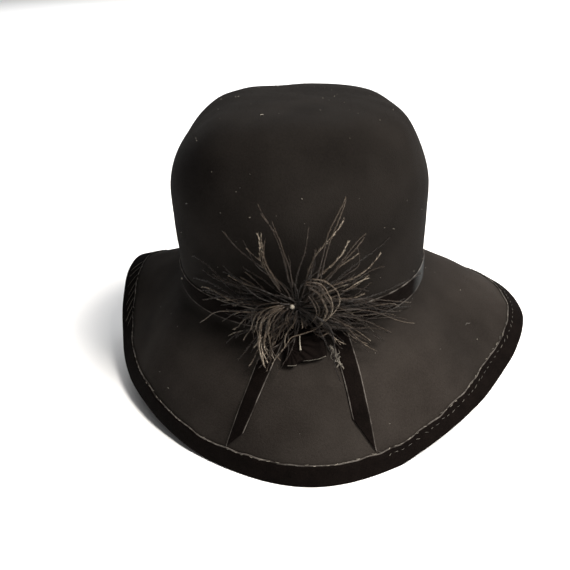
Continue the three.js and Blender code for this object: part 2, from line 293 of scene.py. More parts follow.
def on_crown(bearing, run):
    along = np.clip(-run, 0, CROWN_LENGTH)
    spread = np.interp(along, CROWN_RUN, CROWN_SPREAD)
    height = np.interp(along, CROWN_RUN, CROWN_RISE)
    corner = np.interp(height / CROWN_HEIGHT, CROWN_SECTIONS[:, 0], CROWN_SECTIONS[:, 2])
    corner = corner * np.sin(2 * np.radians(bearing)) ** 2
    return oval_point(bearing, spread * (1 + corner), height)


def blocked_felt(bearing, run):
    on_wall = on_crown(bearing, np.minimum(run, 0))
    on_rim = on_brim(bearing, np.maximum(run, 0))
    return np.where((run <= 0)[:, None], on_wall, on_rim)


def dent_at(bearing, run):
    along = np.where(run < 0, -run / CROWN_HEIGHT, -run / BRIM_REACH)
    depth = np.zeros(len(run))
    for at, place, deep, wide, long in DENTS:
        turn = np.mod(bearing - at + 180, 360) - 180
        depth += deep * BRIM_REACH * np.exp(-((turn / wide) ** 2) - ((along - place) / long) ** 2)
    return depth


def felt_middle(bearing, run):
    """The felt's middle surface, with its rounded fold, dents and soft unevenness."""
    share = (np.clip(run, -FOLD_LENGTH, FOLD_LENGTH) + FOLD_LENGTH) / (2 * FOLD_LENGTH)
    same = np.ones(len(run))
    above = blocked_felt(bearing, -FOLD_LENGTH * same)
    corner = blocked_felt(bearing, 0 * same)
    below = blocked_felt(bearing, FOLD_LENGTH * same)
    folded = bezier(above, corner, below, share[:, None])
    straight = blocked_felt(bearing, run)
    point = np.where((np.abs(run) < FOLD_LENGTH)[:, None], folded, straight)
    level = np.clip((CROWN_LENGTH + run) / POLE_REACH, 0, 1)[:, None]
    push = unit(outward(bearing) * level + UP)
    depth = dent_at(bearing, run) + RIPPLE_DEPTH * unevenness(point, RIPPLES)
    return point + push * depth[:, None]


def felt_normal(bearing, run):
    turn = 0.5
    step = 0.25
    round_way = felt_middle(bearing + turn, run) - felt_middle(bearing - turn, run)
    along = felt_middle(bearing, run + step) - felt_middle(bearing, run - step)
    normal = np.cross(along, round_way)
    length = np.linalg.norm(normal, axis=1, keepdims=True)
    return np.where(length > 1e-6, normal / np.maximum(length, 1e-9), UP)


def felt_at(bearing, run, lift):
    """Points at a lift above the felt's middle. All three can be arrays."""
    shape, bearing, run, lift = flattened(bearing, run, lift)
    points = felt_middle(bearing, run) + felt_normal(bearing, run) * lift[:, None]
    return points.reshape(*shape, 3)


def over_fold(aside, run, lift):
    """Points that lie over the fold between crown and brim, at a sideways place in mm."""
    shape, aside, run, lift = flattened(aside, run, lift)
    bearing = np.degrees(aside / (HEAD_WIDTH / 2))
    lean = math.radians(OVER_FOLD_LEAN)
    way = outward(bearing) * math.cos(lean) + UP * math.sin(lean)
    points = felt_middle(bearing, run) + way * (lift / math.cos(lean))[:, None]
    return points.reshape(*shape, 3)


# Meshes
def make_piece(name, points, faces, material, ribbon_places=None, tones=None):
    """An object from points in mm around the centre of the crown's foot. Ribbon places are each
    point's length along and place across a ribbon, for its weave. Tones are a lightness per
    point."""
    placed = (np.asarray(points) + np.array(FOOT_CENTRE)) * MM
    mesh = bpy.data.meshes.new(name)
    mesh.from_pydata(placed.tolist(), [], faces)
    mesh.polygons.foreach_set("use_smooth", [True] * len(mesh.polygons))
    if ribbon_places is not None:
        corners = np.zeros(len(mesh.loops), dtype=int)
        mesh.loops.foreach_get("vertex_index", corners)
        layer = mesh.uv_layers.new(name="ribbon")
        layer.data.foreach_set("uv", np.asarray(ribbon_places)[corners].astype(float).ravel())
    if tones is not None:
        layer = mesh.attributes.new("tone", "FLOAT", "POINT")
        layer.data.foreach_set("value", np.asarray(tones, dtype=np.float32))
    mesh.materials.append(material)
    piece = bpy.data.objects.new(name, mesh)
    bpy.context.scene.collection.objects.link(piece)
    return piece


def tidy_mesh(piece, distance=2e-6):
    """Welds points that coincide and turns the faces outwards."""
    tool = bmesh.new()
    tool.from_mesh(piece.data)
    bmesh.ops.remove_doubles(tool, verts=tool.verts, dist=distance)
    bmesh.ops.recalc_face_normals(tool, faces=tool.faces)
    tool.to_mesh(piece.data)
    tool.free()


def ring_faces(rings, size, joined):
    """Four sided faces through closed rings of points, with both ends capped if not joined."""
    faces = []
    for i in range(rings if joined else rings - 1):
        here = i * size
        following = (i + 1) % rings * size
        for j in range(size):
            k = (j + 1) % size
            faces.append((here + j, here + k, following + k, following + j))
    if not joined:
        last = (rings - 1) * size
        faces.append(tuple(reversed(range(size))))
        faces.append(tuple(last + j for j in range(size)))
    return faces


def piece_of_rings(name, rings, joined, material, ribbon_places):
    """A welded piece through rings of points, such as a ribbon."""
    faces = ring_faces(rings.shape[0], rings.shape[1], joined)
    piece = make_piece(name, rings.reshape(-1, 3), faces, material, ribbon_places)
    tidy_mesh(piece)
    return piece


def ride_and_replace(piece, slot, *nodes):
    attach(piece, "root")
    if nodes:
        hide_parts(*nodes)


# Materials
def new_material(name):
    material = bpy.data.materials.new(name)
    material.use_nodes = True
    tree = material.node_tree
    return material, tree, tree.nodes["Principled BSDF"]


def add_node(tree, kind, **settings):
    node = tree.nodes.new(kind)
    for key, value in settings.items():
        if key in node.inputs:
            node.inputs[key].default_value = value
        else:
            setattr(node, key, value)
    return node


def noise_node(tree, source, scale, detail=3.0, roughness=0.5):
    node = add_node(tree, "ShaderNodeTexNoise", Scale=scale, Detail=detail, Roughness=roughness)
    tree.links.new(source, node.inputs["Vector"])
    return node.outputs["Fac"]


def colour_ramp(tree, source, stops):
    ramp = tree.nodes.new("ShaderNodeValToRGB")
    tree.links.new(source, ramp.inputs["Fac"])
    elements = ramp.color_ramp.elements
    while len(elements) < len(stops):
        elements.new(0.5)
    for element, (place, colour) in zip(elements, stops):
        element.position = place
        element.color = (*colour, 1)
    return ramp.outputs["Color"]


def maths(tree, operation, first, second):
    node = tree.nodes.new("ShaderNodeMath")
    node.operation = operation
    for socket, value in zip(node.inputs, (first, second)):
        if isinstance(value, (int, float)):
            socket.default_value = value
        else:
            tree.links.new(value, socket)
    return node.outputs["Value"]


def add_bump(tree, height, distance, strength=1.0, below=None):
    node = add_node(tree, "ShaderNodeBump", Strength=strength, Distance=distance)
    tree.links.new(height, node.inputs["Height"])
    if below is not None:
        tree.links.new(below, node.inputs["Normal"])
    return node.outputs["Normal"]


def point_tone(tree):
    return add_node(tree, "ShaderNodeAttribute", attribute_name="tone").outputs["Fac"]


def colour_by_tone(tree, shader, stops):
    """Base colour from the tone that each point carries."""
    tree.links.new(colour_ramp(tree, point_tone(tree), stops), shader.inputs["Base Color"])


# Painted light and shade on the felt: how pale the shaded crown is painted, over how many mm the
# brim is painted paler where the light falls, how much each mm of a dent darkens it as painted
# shade, and the limits of that
CROWN_PAINTED_SHADE = 0.42
PAINTED_LIGHT_REACH = 34
DENT_PAINTED_SHADE = 0.13
DENT_PAINTED_SHADE_LIMITS = (0.25, 1.2)

# Felt grain: the scales of its noises, the mottled patches' share, and its colours
PATCH_SCALE = 26
NAP_SCALE = 900
FIBRE_SCALE = 2600
PATCH_SHARE = 0.55
FELT_COLOURS = [
    (0.3, (0.0085, 0.0068, 0.0057)),
    (0.72, (0.024, 0.0204, 0.0178)),
]


def painted_shade_tone(bearing, run):
    """Painted light and shade: paler on the lit brim, darker on the crown and in the dents."""
    in_dents = np.clip(1 + DENT_PAINTED_SHADE * dent_at(bearing, run), *DENT_PAINTED_SHADE_LIMITS)
    return np.clip((run + FOLD_LENGTH) / PAINTED_LIGHT_REACH, 0, 1) * in_dents


def felt_material():
    """Black wool felt: a matt short nap, faintly mottled and dusty. The tone of each point is
    painted
    shade: it darkens the colour on the crown and in the dents, and leaves the lit brim paler."""
    material, tree, shader = new_material("felt")
    place = add_node(tree, "ShaderNodeTexCoord").outputs["Object"]
    patches = noise_node(tree, place, PATCH_SCALE, detail=2)
    nap = noise_node(tree, place, NAP_SCALE, detail=4, roughness=0.7)
    fibres = noise_node(tree, place, FIBRE_SCALE, detail=2)
    patches = maths(tree, "MULTIPLY", patches, PATCH_SHARE)
    grain = maths(tree, "MULTIPLY", nap, 1 - PATCH_SHARE)
    colour = colour_ramp(tree, maths(tree, "ADD", patches, grain), FELT_COLOURS)
    # Painted shade: the point tone scales the colour down on the crown and in the dents
    tone = point_tone(tree)
    shaded_felt = add_node(tree, "ShaderNodeVectorMath", operation="SCALE")
    tree.links.new(colour, shaded_felt.inputs["Vector"])
    shade = maths(tree, "MULTIPLY", tone, 1 - CROWN_PAINTED_SHADE)
    tree.links.new(maths(tree, "ADD", shade, CROWN_PAINTED_SHADE), shaded_felt.inputs["Scale"])
    tree.links.new(shaded_felt.outputs["Vector"], shader.inputs["Base Color"])
    shader.inputs["Roughness"].default_value = 0.95
    shader.inputs["Specular IOR Level"].default_value = 0.05
    coarse = add_bump(tree, nap, 0.0004, 0.7)
    tree.links.new(add_bump(tree, fibres, 0.00015, 0.6, coarse), shader.inputs["Normal"])
    return material


# Velvet ribbon: the scales of its noises, the pitch of its edge's ribs in mm, where the woven edge
# fades into the pile, its colours, and the painted highlight along the band, a pale glint of sheen
PILE_SCALE = 1500
RUB_SCALE = 120
RIB_PITCH = 0.7
EDGE_FADE = (0.35, 0.9)
PILE_COLOURS = [
    (0.2, (0.0011, 0.0008, 0.0007)),
    (0.7, (0.0048, 0.0034, 0.0029)),
]
EDGE_COLOURS = [
    (0.35, (0.02, 0.017, 0.015)),
    (0.65, (0.11, 0.1, 0.09)),
]
GLINT_COLOUR = (0.075, 0.08, 0.082, 1)
GLINT_ALONG = (84, 128)
BLACK = (0, 0, 0)
WHITE = (1, 1, 1)


def colour_mix(tree, share, first):
    """A mix from a first colour. Its second colour is set on the node that comes back."""
    mix = add_node(tree, "ShaderNodeMix", data_type="RGBA")
    tree.links.new(share, mix.inputs["Factor"])
    tree.links.new(first, mix.inputs[6])
    return mix


def ribbon_material(name, width, glint=None):
    """Black velvet ribbon: dark pile between two lighter woven edges. A glint is a painted
    highlight,
    a pale stretch of sheen: where it starts and ends, in mm along the ribbon."""
    material, tree, shader = new_material(name)
    where = add_node(tree, "ShaderNodeUVMap", uv_map="ribbon").outputs["UV"]
    split = tree.nodes.new("ShaderNodeSeparateXYZ")
    tree.links.new(where, split.inputs["Vector"])
    along = split.outputs["X"]
    across = split.outputs["Y"]
    off_middle = maths(tree, "ABSOLUTE", maths(tree, "SUBTRACT", across, width / 2), 0)
    from_edge = maths(tree, "SUBTRACT", width / 2, off_middle)
    edge = colour_ramp(tree, from_edge, list(zip(EDGE_FADE, (WHITE, BLACK))))
    place = add_node(tree, "ShaderNodeTexCoord").outputs["Object"]
    pile = noise_node(tree, place, PILE_SCALE, detail=3)
    rubbed = noise_node(tree, place, RUB_SCALE, detail=3)
    shade = maths(tree, "MULTIPLY", pile, maths(tree, "ADD", rubbed, 0.4))
    dark = colour_ramp(tree, shade, PILE_COLOURS)
    light = colour_ramp(tree, rubbed, EDGE_COLOURS)
    mix = colour_mix(tree, edge, dark)
    tree.links.new(light, mix.inputs[7])
    colour = mix.outputs[2]
    # The glint is a painted highlight: a pale sheen mixed into the colour along the band
    if glint:
        start, end = glint
        share = maths(tree, "DIVIDE", maths(tree, "SUBTRACT", along, start), end - start)
        shine = colour_ramp(tree, share, [(0, BLACK), (0.5, WHITE), (1, BLACK)])
        glint_share = maths(tree, "MULTIPLY", shine, maths(tree, "ADD", pile, -0.05))
        pale = colour_mix(tree, glint_share, colour)
        pale.inputs[7].default_value = GLINT_COLOUR
        colour = pale.outputs[2]
    tree.links.new(colour, shader.inputs["Base Color"])
    shader.inputs["Roughness"].default_value = 0.9
    shader.inputs["Specular IOR Level"].default_value = 0.02
    ribs = maths(tree, "SINE", maths(tree, "MULTIPLY", along, 2 * math.pi / RIB_PITCH), 0)
    woven = maths(tree, "MULTIPLY", ribs, edge)
    height = maths(tree, "ADD", maths(tree, "MULTIPLY", woven, 0.5), pile)
    tree.links.new(add_bump(tree, height, 0.0003, 0.8), shader.inputs["Normal"])
    return material


def feather_material():
    """Brown black strands with a soft sheen."""
    material, tree, shader = new_material("feather")
    colour_by_tone(tree, shader, [
        (0, (0.003, 0.002, 0.0015)),
        (0.4, (0.016, 0.0105, 0.007)),
        (0.7, (0.085, 0.066, 0.048)),
        (1, (0.34, 0.295, 0.235)),
    ])
    shader.inputs["Roughness"].default_value = 0.45
    shader.inputs["Specular IOR Level"].default_value = 0.25
    return material


def thread_material():
    """Thread, lint and glue, from dark to pale."""
    material, tree, shader = new_material("thread")
    colour_by_tone(tree, shader, [
        (0, (0.01, 0.0085, 0.007)),
        (1, (0.2, 0.18, 0.145)),
    ])
    shader.inputs["Roughness"].default_value = 0.6
    return material


# The felt: crown and brim, one wall
def felt_body():
    bearings = np.arange(AROUND_STEPS) * 360 / AROUND_STEPS
    crown = np.linspace(-CROWN_LENGTH, -FOLD_LENGTH, CROWN_STEPS + 1)
    fold = np.linspace(-FOLD_LENGTH, FOLD_LENGTH, FOLD_STEPS + 1)[1:-1]
    inner = np.tile(np.concatenate([crown, fold]), (AROUND_STEPS, 1))
    shares = np.linspace(0, 1, BRIM_STEPS + 1)[None, :]
    brim = FOLD_LENGTH + shares * (brim_length(bearings)[:, None] - FOLD_LENGTH)
    runs = np.concatenate([inner, brim], axis=1)
    places = bearings[:, None].repeat(runs.shape[1], axis=1)
    outside = felt_at(places, runs, FELT_HALF)
    inside = felt_at(places, runs, -FELT_HALF)
    # The points at each pole of the crown meet in one, and no faces join the two poles
    for surface in (outside, inside):
        surface[:, 0] = surface[:, 0].mean(axis=0)
    rings = np.concatenate([outside, inside[:, ::-1]], axis=1)
    size = rings.shape[1]
    faces = [face for face in ring_faces(AROUND_STEPS, size, True) if (face[0] + 1) % size]
    # The tone is painted light and shade: paler on the brim, darker on the crown and in the dents
    tone = painted_shade_tone(places.ravel(), runs.ravel()).reshape(runs.shape)
    tones = np.concatenate([tone, tone[:, ::-1]], axis=1).ravel()
    piece = make_piece("felt_hat", rings.reshape(-1, 3), faces, FELT, tones=tones)
    tidy_mesh(piece)
    ride_and_replace(piece, "felt", "felt_body")


# A ribbon's edge: place across in mm and height as a share of the ribbon's thickness. The woven
# edge is a thin cord, and the pile beside it stands higher.
EDGE_PROFILE = [
    (0, 0.45),
    (0.12, 0.62),
    (0.42, 0.72),
    (0.75, 0.5),
    (1.1, 0.62),
    (1.6, 0.96),
    (2.4, 1),
]


def ribbon_section(width):
    """A flat ribbon's section as places across and heights, round from its first edge."""
    first = [(place, height * RIBBON_THICK) for place, height in EDGE_PROFILE]
    middle = [(width / 2, RIBBON_THICK)]
    second = [(width - place, height) for place, height in reversed(first)]
    bottom = [(width, 0), (width / 2, 0), (0, 0)]
    return np.array(first + middle + second + bottom)


def weave_places(along, across):
    """Each point's length along and place across a ribbon."""
    return np.stack(np.broadcast_arrays(along, across), axis=-1).reshape(-1, 2)


def crown_band():
    """A ribbon stretched round the crown, above the fold."""
    section = ribbon_section(BAND_WIDTH)
    bearings = np.arange(AROUND_STEPS) * 360 / AROUND_STEPS
    across = section[:, 0][None, :]
    height = section[:, 1][None, :]
    rings = felt_at(bearings[:, None], -BAND_RISE - across, RIBBON_SEAT + height)
    places = weave_places(lengths_along(rings[:, 0])[:, None], across)
    piece = piece_of_rings("ribbon_band", rings, True, BAND, places)
    ride_and_replace(piece, "ribbon", "crown_band")


# The binding: how far its fold stands off the rim, how deep its inner edge is puckered, and the
# places across its pile on each side of the felt
FOLD_REACH = 0.6
PUCKER = 0.45
PUCKERS = waves(8, 16, seed=5)
PILE_PLACES = (5, 8, 11)
FOLD_ANGLES = np.radians(np.linspace(0, 180, 9))


def binding_section(bearings, rim):
    """The folded ribbon's section, as place across, run at each bearing and lift. It goes from
    the upper inner edge round the rim to the lower one, and back between ribbon and felt."""
    leg = [(place, height * RIBBON_THICK) for place, height in EDGE_PROFILE]
    leg += [(place, RIBBON_THICK) for place in PILE_PLACES]
    edge = rim - BINDING_WIDTH
    pucker = PUCKER * unevenness(felt_middle(bearings, edge), PUCKERS)
    reach = FOLD_REACH + RIBBON_THICK
    upper = [(place, edge + pucker * (1 - place / BINDING_WIDTH) + place, RIBBON_SEAT + height)
             for place, height in leg]
    outer = [(BINDING_WIDTH, rim + reach * math.sin(angle), RIBBON_TOP * math.cos(angle))
             for angle in FOLD_ANGLES]
    lower = [(place, edge + place, -RIBBON_SEAT - height) for place, height in reversed(leg)]
    inner = [(BINDING_WIDTH, rim + FOLD_REACH * math.sin(angle), RIBBON_SEAT * math.cos(angle))
             for angle in reversed(FOLD_ANGLES)]
    lower_corner = (0, edge, -RIBBON_SEAT)
    upper_corner = (0, edge + pucker, RIBBON_SEAT)
    return [*upper, *outer, *lower, lower_corner, *inner, upper_corner]


def brim_binding():
    """One ribbon folded round the rim. Its inner edge is puckered by the stitches, and it is
    pressed flat on the floor."""
    bearings = np.arange(2 * AROUND_STEPS) * 180 / AROUND_STEPS
    section = binding_section(bearings, brim_length(bearings))
    across = np.array([place for place, _, _ in section])[None, :]
    runs = np.stack([run for _, run, _ in section], axis=1)
    lifts = np.array([lift for _, _, lift in section])[None, :]
    rings = felt_at(bearings[:, None], runs, lifts)
    rings[..., 2] = np.maximum(rings[..., 2], -FOOT_CENTRE[2])
    places = weave_places(lengths_along(rings[:, 0])[:, None], across)
    piece = piece_of_rings("ribbon_binding", rings, True, BINDING, places)
    ride_and_replace(piece, "ribbon", "brim_binding")


# A tail's slight wave: its height in mm and its angle in radians from band to tip
TAIL_WAVE = 0.35
TAIL_WAVE_ANGLE = 9


def ribbon_tail(name, at_band, at_tip, slant):
    """A ribbon end on the brim, cut on a slant, with a slight wave."""
    side = math.copysign(1, at_tip)
    section = ribbon_section(TAIL_WIDTH)
    across = section[:, 0][None, :]
    aside = across / TAIL_WIDTH * 2 - 1
    start = GAP - BAND_RISE
    long_end = brim_length(at_tip)[0] - BINDING_WIDTH - TAIL_CLEARANCE
    cut = slant * TAIL_WIDTH * (1 - aside * side) * 0.5
    shares = np.linspace(0, 1, TAIL_STEPS)[:, None]
    runs = start + (long_end - cut - start) * shares
    centre = at_band + (at_tip - at_band) * shares + 0 * runs
    radius = np.linalg.norm(felt_middle(centre.ravel(), runs.ravel())[:, :2], axis=1)
    bearings = centre + np.degrees(aside * TAIL_WIDTH / 2 / radius.reshape(runs.shape))
    wave = TAIL_WAVE * np.sin(shares * TAIL_WAVE_ANGLE + side) * (aside * side)
    lifts = RIBBON_SEAT + section[:, 1][None, :] + np.abs(wave) * shares
    rings = felt_at(bearings, runs, lifts)
    piece = piece_of_rings("ribbon_" + name, rings, False, TAIL, weave_places(runs, across))
    ride_and_replace(piece, "ribbon", name)


# The knot's lower edge: how much it falls short of the full drop in mm, how much longer the fold
# at its left is, where that ends and how steeply, and how far the right corner rises
KNOT_SHORT = 1.6
LEFT_FOLD = 3
LEFT_FOLD_END = -0.35
LEFT_FOLD_STEEP = 30
RIGHT_RISE = 2.4

# The knot's folds: the place down and across that they fan out from, their stretch downwards,
# number, sway and depth, how much thinner the knot is between them, and the pinch they start at
FOLDS_FROM = (0.58, -0.75)
FOLDS_STRETCH = 1.6
FOLD_COUNT = 19
FOLD_SWAY = 1.5
FOLD_DEPTH = 1.2
FOLD_ROOM = 0.9
PINCH_DEPTH = 0.9


def knot_end(across):
    """Where the knot's lower edge lies: a longer fold at the left and a rising right corner."""
    left = 1 / (1 + np.exp((across - LEFT_FOLD_END) * LEFT_FOLD_STEEP))
    return KNOT_DROP - KNOT_SHORT + LEFT_FOLD * left - RIGHT_RISE * np.maximum(across, 0) ** 2


def knot_thickness(share, across):
    """How thick the tab is. Fine folds fan out from a pinch at its left side."""
    down = (share - FOLDS_FROM[0]) * FOLDS_STRETCH
    over = across - FOLDS_FROM[1]
    far = np.hypot(down, over)
    angle = np.arctan2(down, over)
    fold = 0.5 + 0.5 * np.cos(angle * FOLD_COUNT + FOLD_SWAY * np.sin(3 * far))
    folds = FOLD_DEPTH * fold**0.8 * np.clip(far / 0.7, 0, 1) * np.cos(angle / 2) ** 2
    pinch = PINCH_DEPTH * np.exp(-((down / 0.2) ** 2) - ((over - 0.15) / 0.3) ** 2)
    puff = np.sqrt(np.sin(np.pi * (0.12 + 0.76 * share)))
    edge = np.sqrt(np.maximum(1 - across**6, 0))
    return np.maximum((KNOT_THICK - FOLD_ROOM + folds - pinch) * puff * edge, RIBBON_THICK)


def ribbon_knot():
    """The gathered tab over the fold between crown and brim."""
    rows, columns = KNOT_STEPS
    share = np.linspace(0, 1, rows)[:, None]
    across = np.linspace(-1, 1, columns)[None, :]
    aside = KNOT_ASIDE + across * KNOT_WIDTH / 2 + 0 * share
    run = -KNOT_RISE + (KNOT_RISE + knot_end(across)) * share
    below = over_fold(aside, run, KNOT_SEAT)
    above = over_fold(aside, run, KNOT_SEAT + knot_thickness(share, across))
    rings = np.concatenate([below, above[:, ::-1]], axis=1)
    from_end = (1 - share) * (KNOT_RISE + KNOT_DROP) + 0 * across
    place = np.stack([aside + KNOT_WIDTH, np.clip(from_end, 1, TAIL_WIDTH / 2)], axis=-1)
    places = np.concatenate([place, place[:, ::-1]], axis=1).reshape(-1, 2)
    piece = piece_of_rings("gathered_knot", rings, False, TAIL, places)
    ride_and_replace(piece, "ribbon", "ribbon_knot")


# Threads and strands: tapered tubes along paths
def tube(path, radii, sides=4):
    """Points and faces of a tapered tube. The path is an array of points."""
    before = np.concatenate([path[:1], path[:-1]])
    after = np.concatenate([path[1:], path[-1:]])
    tangent = unit(after - before)
    side = unit(np.cross(tangent, UP + 1e-3))
    top = np.cross(side, tangent)
    angles = (np.arange(sides) * 2 * math.pi / sides)[:, None]
    ring = side[:, None] * np.cos(angles) + top[:, None] * np.sin(angles)
    points = path[:, None] + ring * np.asarray(radii)[:, None, None]
    return points.reshape(-1, 3), ring_faces(len(path), sides, False)


class Pile:
    """Collects many small bodies into one mesh."""

    def __init__(self):
        self.points = []
        self.faces = []
        self.tones = []
        self.count = 0

    def add(self, points, faces, tone):
        self.points.append(points)
        self.faces.extend(tuple(i + self.count for i in face) for face in faces)
        self.tones.append(np.broadcast_to(tone, (len(points),)))
        self.count += len(points)

    def add_tube(self, path, radii, tone, sides=4):
        self.add(*tube(path, radii, sides), tone)

    def piece(self, name, material):
        points = np.concatenate(self.points)
        tones = np.concatenate(self.tones)
        return make_piece(name, points, self.faces, material, tones=tones)


# Stitches along the binding's inner edge: their lengths and the gaps between them in mm, the
# points along each, and their radius
STITCH_LENGTHS = (1.6, 3.4)
STITCH_GAPS = (1.2, 4.5)
STITCH_STEPS = 6
STITCH_SHARES = np.linspace(0, 1, STITCH_STEPS)
STITCH_RADIUS = 0.22

# A second row of finer stitches: its first and last bearing, how far in from the edge it lies,
# and its radius
SECOND_ROW = (18, 112)
SECOND_ROW_INSET = 3.6
SECOND_ROW_RADIUS = 0.16

# Slanting stitches where the binding overlaps at the left back corner: first and last bearing,
# and their spacing, then their radius
CORNER_STITCHES = (-116, -96, 2.6)
CORNER_RADIUS = 0.2

# How far stitches on the pile lie above it
ON_PILE = 0.1


def add_stitch(pile, bearings, runs, lifts, radius, tone):
    """A thread on the felt that is thinner at both ends."""
    taper = np.sin(math.pi * (0.15 + 0.7 * STITCH_SHARES))
    pile.add_tube(felt_at(bearings, runs, lifts), radius * taper, tone)


def rim_stitches():
    """Hand stitches that hold the binding's inner edge, uneven in length and place."""
    rng = np.random.default_rng(21)
    pile = Pile()
    lift = RIBBON_SEAT + 0.45 + 0.35 * np.sin(math.pi * STITCH_SHARES)
    bearing = -180.0
    while bearing < 180:
        long = rng.uniform(*STITCH_LENGTHS)
        rim = brim_length(bearing)[0]
        radius = np.linalg.norm(felt_middle(np.array([bearing]), np.array([rim]))[0, :2])
        turn = np.degrees(long / radius)
        turns = bearing + turn * STITCH_SHARES
        run = rim - BINDING_WIDTH + rng.uniform(-0.4, 0.5)
        run = run + (STITCH_SHARES - 0.5) * rng.uniform(-1.1, 1.1)
        add_stitch(pile, turns, run, lift, STITCH_RADIUS, rng.uniform(0.25, 0.9) ** 1.3)
        if SECOND_ROW[0] < bearing < SECOND_ROW[1]:
            inset = run + SECOND_ROW_INSET
            tone = rng.uniform(0.1, 0.4)
            add_stitch(pile, turns, inset, RIBBON_TOP + ON_PILE, SECOND_ROW_RADIUS, tone)
        bearing += turn + np.degrees(rng.uniform(*STITCH_GAPS) / radius)
    for bearing in np.arange(*CORNER_STITCHES):
        rim = brim_length(bearing)[0]
        run = rim - BINDING_WIDTH * np.linspace(0.95, rng.uniform(0.1, 0.4), STITCH_STEPS)
        turns = bearing + np.linspace(0, rng.uniform(1.2, 3.4), STITCH_STEPS)
        add_stitch(pile, turns, run, RIBBON_TOP + ON_PILE, CORNER_RADIUS, rng.uniform(0.3, 0.8))
    ride_and_replace(pile.piece("rim_stitches", THREAD), "ribbon")


# The feather rosette. Each lock becomes a few strands, and fewer in a fan that starts within a
# clock angle of the top. The strands of the last fan, over the knot, are cut shorter.
STRANDS_PER_LOCK = 4
STRANDS_ABOVE = 2
ABOVE_CLOCK = 45
LAST_FAN_REACH = 0.45
BRIGHT_SHARE = 0.24
DOWN_COUNT = 60
STRAND_STEPS = 20
STRAND_SHARES = np.linspace(0, 1, STRAND_STEPS)
LOWEST_STRAND = RIBBON_TOP + 0.7

# Radii of the strands in mm, and the tone of their roots as a share of their tips' tone
STRAND_RADIUS = 0.4
ROOT_TONE = 0.3
DRAWN_RADIUS = 0.42
DRAWN_ROOT_TONE = 0.5
STRAND_TAPER = 0.65

# Barbs: their spacing and half width in mm, and the bare share of a strand at its root
BARB_SPACING = 0.55
BARB_HALF_WIDTH = 0.25
BARE_ROOT = 0.1

# Strands that curl out of the fans: clock angle, its spread, count, length in mm, turn in
# degrees, arch, tone, and how far the root lies to the right of and above the rosette's middle
CURLS = [
    (-118, 16, 6, 42, 40, 0.12, 0.8, -5, 1),
    (-150, 14, 4, 36, 14, 0.1, 0.85, -6, 0),
    (100, 18, 12, 60, 26, 0.09, 0.6, 5, -1),
    (124, 14, 10, 46, 22, 0.1, 0.65, 6, -2),
]

# Single strands that stand out: tone, copies, height above the roots in mm, then places along
# them as millimetres to the right of the front and run along the felt
DRAWN = [
    (1, 4, 7, [(-1, -33), (5, -30), (9, -24), (11, -17), (10, -11), (6, -6)]),
    (0.9, 4, 7, [(0, -31), (4, -27), (7, -21), (8, -15), (6, -8)]),
    (0.8, 2, 6, [(0, -26), (2, -20), (3, -14), (1, -8)]),
    (0.95, 1, 1.5, [(8, -8), (2, -3), (-4, 0), (-9, 2), (-12, 7), (-16, 14), (-18, 20)]),
    (0.9, 2, 0.5, [(0, -3), (4, -1), (8, -3), (5, -5), (1, -4)]),
    (0.95, 5, 5, [(-13, -19), (-20, -14), (-24, -4), (-23, 7), (-20, 18)]),
    (1, 5, 4.5, [(-12, -18), (-17, -12), (-20, -2), (-20, 7), (-17, 15)]),
    (0.85, 2, 2, [(-11, -16), (-13, -9), (-11, -3)]),
    (0.8, 2, 4, [(-14, -20), (-23, -17), (-29, -8), (-30, 2)]),
    (0.85, 1, 0, [(-17, 8), (-22, 14), (-24, 20)]),
    (0.85, 1, 0, [(-21, 9), (-19, 16), (-20, 22)]),
    (0.8, 2, 3, [(3, -29), (7, -50), (11, -66), (20, -84)]),
    (0.6, 1, 2, [(0, -30), (2, -44), (5, -54)]),
    (0.65, 2, 2, [(-8, -32), (-9, -44), (-11, -55), (-14, -64), (-23, -78)]),
    (0.8, 4, 2, [(-14, -31), (-20, -46), (-22, -64)]),
    (0.65, 2, 1, [(6, -30), (14, -42), (24, -55), (31, -60)]),
    (0.5, 1, 1, [(8, -28), (18, -36), (26, -42), (27, -54)]),
]


def drawn_strands(rng):
    """The strands of the table above, each with close copies beside it."""
    share = STRAND_SHARES
    for tone, copies, above, places in DRAWN:
        places = np.array(places, float)
        for copy in range(copies):
            aside = rng.normal(0, 0.5, 2) + (copy > 0) * rng.normal(0, 1.4, 2)
            line = line_through(places + aside + rng.normal(0, 0.45, places.shape), STRAND_STEPS)
            lift = ROOT_LIFT + above + 2.5 * np.sin(math.pi * share) - 3.5 * share**2
            path = over_fold(line[:, 0], line[:, 1], np.maximum(lift, LOWEST_STRAND))
            yield tone * rng.uniform(0.6, 1), rng.uniform(1.6, 3.4), path


def strand_path(clock, length, turn, tip_lift, arch, root_lift, wave, phase, aside, above):
    """A strand over the felt. It starts beside and above the rosette's middle, runs out at a
    clock angle and turns as it goes."""
    share = STRAND_SHARES
    sway = wave * np.sin(2.2 * math.pi * share + phase)
    way = np.radians(clock + math.copysign(1, clock) * turn * share + sway)
    step = length / (STRAND_STEPS - 1)
    sideways = POM_ASIDE + aside + np.concatenate([[0], np.cumsum(np.sin(way[:-1]))]) * step
    run = -POM_RISE - above - np.concatenate([[0], np.cumsum(np.cos(way[:-1]))]) * step
    lift = root_lift + tip_lift * LOCK_LENGTH * share + arch * length * np.sin(math.pi * share)
    return over_fold(sideways, run, np.maximum(lift, LOWEST_STRAND))


